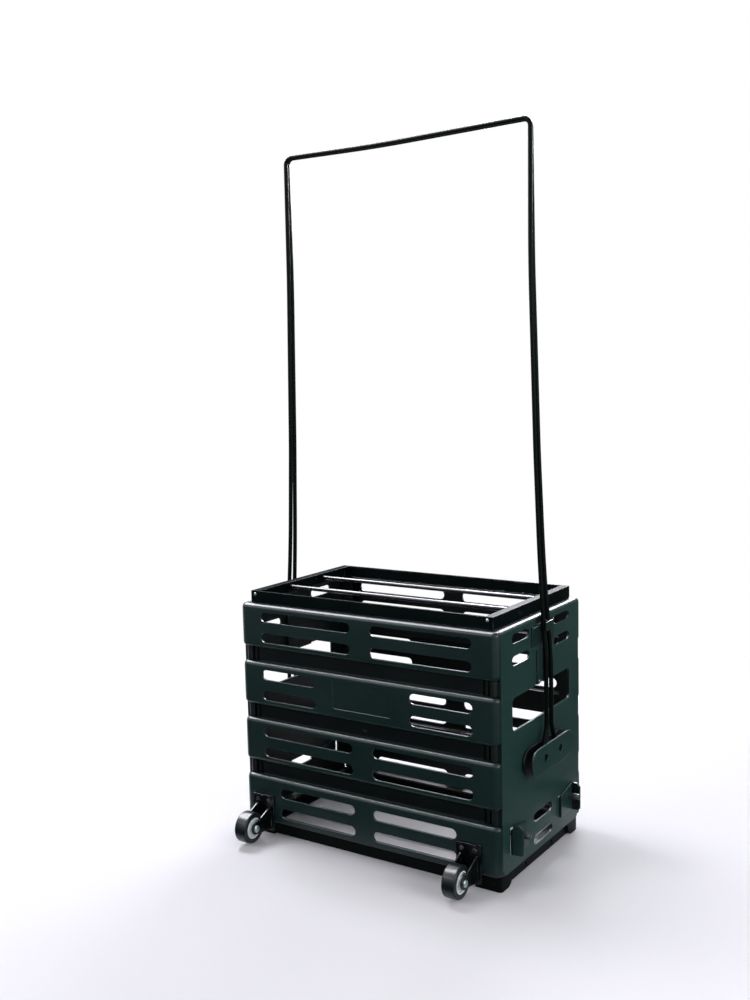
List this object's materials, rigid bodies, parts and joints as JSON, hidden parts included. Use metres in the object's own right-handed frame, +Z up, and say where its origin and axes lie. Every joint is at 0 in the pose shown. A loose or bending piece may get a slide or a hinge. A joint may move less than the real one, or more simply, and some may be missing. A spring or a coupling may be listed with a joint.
{
  "type": "ball cart",
  "caption": "Slotted ball basket on casters with roller bars over and under it and two swinging wire handles that fold down as legs.",
  "frame": {"origin": "on the ground, under the middle of the whole cart's bounding box", "axes": "+Z up, X along the long side of the basket, -Y the side that carries the casters"},
  "size_m": [0.446, 0.3116, 0.9713],
  "materials": {
    "basket_plastic": "satin moulded, very dark green-black",
    "end_plastic": "satin moulded, very dark green",
    "frame_paint": "satin black paint on steel",
    "bar_paint": "smooth semi-gloss black",
    "wire_paint": "semi-gloss green-black coating on steel wire",
    "wheel_rubber": "smooth black rubber",
    "hub_plastic": "off-white plastic",
    "zinc": "bright zinc plate",
    "dark_zinc": "dark zinc plate",
    "foot_plastic": "matt black moulded"
  },
  "bodies": {
    "cart": {"wall_front": "basket_plastic", "wall_back": "basket_plastic", "wall_right": "end_plastic", "wall_left": "end_plastic", "corner_pin_front_right": "dark_zinc", "corner_pin_front_left": "dark_zinc", "corner_pin_back_right": "dark_zinc", "corner_pin_back_left": "dark_zinc", "frame_top": "frame_paint", "frame_bottom": "frame_paint", "frame_screw_front_right": "zinc", "frame_screw_front_left": "zinc", "frame_screw_back_right": "zinc", "frame_screw_back_left": "zinc", "corner_foot_front_right": "foot_plastic", "corner_foot_front_left": "foot_plastic", "corner_foot_back_right": "foot_plastic", "corner_foot_back_left": "foot_plastic", "foot_screw_front_right": "dark_zinc", "foot_screw_front_left": "dark_zinc", "foot_screw_back_right": "dark_zinc", "foot_screw_back_left": "dark_zinc", "pivot_bracket_right": "end_plastic", "pivot_bracket_left": "end_plastic", "pivot_pin_front_right": "dark_zinc", "pivot_pin_front_left": "dark_zinc", "pivot_pin_back_right": "dark_zinc", "pivot_pin_back_left": "dark_zinc", "handle_clip_right": "basket_plastic", "handle_clip_left": "basket_plastic", "clip_screw_right": "zinc", "clip_screw_left": "zinc", "leg_catch_front_right": "end_plastic", "leg_catch_front_left": "end_plastic", "leg_catch_back_right": "end_plastic", "leg_catch_back_left": "end_plastic", "catch_peg_front_right": "dark_zinc", "catch_peg_front_left": "dark_zinc", "catch_peg_back_right": "dark_zinc", "catch_peg_back_left": "dark_zinc", "caster_bracket_right": "frame_paint", "caster_bracket_left": "frame_paint", "wheel_axle_right": "zinc", "wheel_axle_left": "zinc", "caster_bolt_outer_right": "dark_zinc", "caster_bolt_inner_right": "dark_zinc", "caster_bolt_outer_left": "dark_zinc", "caster_bolt_inner_left": "dark_zinc"},
    "front_handle": {"handle_front": "wire_paint"},
    "back_handle": {"handle_back": "wire_paint"},
    "right_wheel": {"tyre_right": "wheel_rubber", "wheel_hub_right": "hub_plastic"},
    "left_wheel": {"tyre_left": "wheel_rubber", "wheel_hub_left": "hub_plastic"},
    "top_roller_front": {"top_bar_front": "bar_paint"},
    "top_roller_back": {"top_bar_back": "bar_paint"},
    "bottom_roller_front": {"bottom_bar_front": "bar_paint"},
    "bottom_roller_back": {"bottom_bar_back": "bar_paint"}
  },
  "joints": [
    {"name": "front_handle_swing", "type": "hinge", "parent": "cart", "child": "front_handle", "pos_m": [0, 0.00615, 0.151], "axis": [1, 0, 0], "range_deg": [0, 143.2]},
    {"name": "back_handle_swing", "type": "hinge", "parent": "cart", "child": "back_handle", "pos_m": [0, 0.05135, 0.151], "axis": [-1, 0, 0], "range_deg": [0, 143.2]},
    {"name": "right_wheel_spin", "type": "hinge", "parent": "cart", "child": "right_wheel", "pos_m": [0.1612, -0.13435, 0.0256], "axis": [1, 0, 0], "continuous": true},
    {"name": "left_wheel_spin", "type": "hinge", "parent": "cart", "child": "left_wheel", "pos_m": [-0.1708, -0.13435, 0.0256], "axis": [1, 0, 0], "continuous": true},
    {"name": "top_roller_front_spin", "type": "hinge", "parent": "cart", "child": "top_roller_front", "pos_m": [0, -0.01125, 0.3467], "axis": [1, 0, 0], "continuous": true},
    {"name": "top_roller_back_spin", "type": "hinge", "parent": "cart", "child": "top_roller_back", "pos_m": [0, 0.06875, 0.3467], "axis": [1, 0, 0], "continuous": true},
    {"name": "bottom_roller_front_spin", "type": "hinge", "parent": "cart", "child": "bottom_roller_front", "pos_m": [0, -0.01125, 0.008], "axis": [1, 0, 0], "continuous": true},
    {"name": "bottom_roller_back_spin", "type": "hinge", "parent": "cart", "child": "bottom_roller_back", "pos_m": [0, 0.06875, 0.008], "axis": [1, 0, 0], "continuous": true}
  ]
}
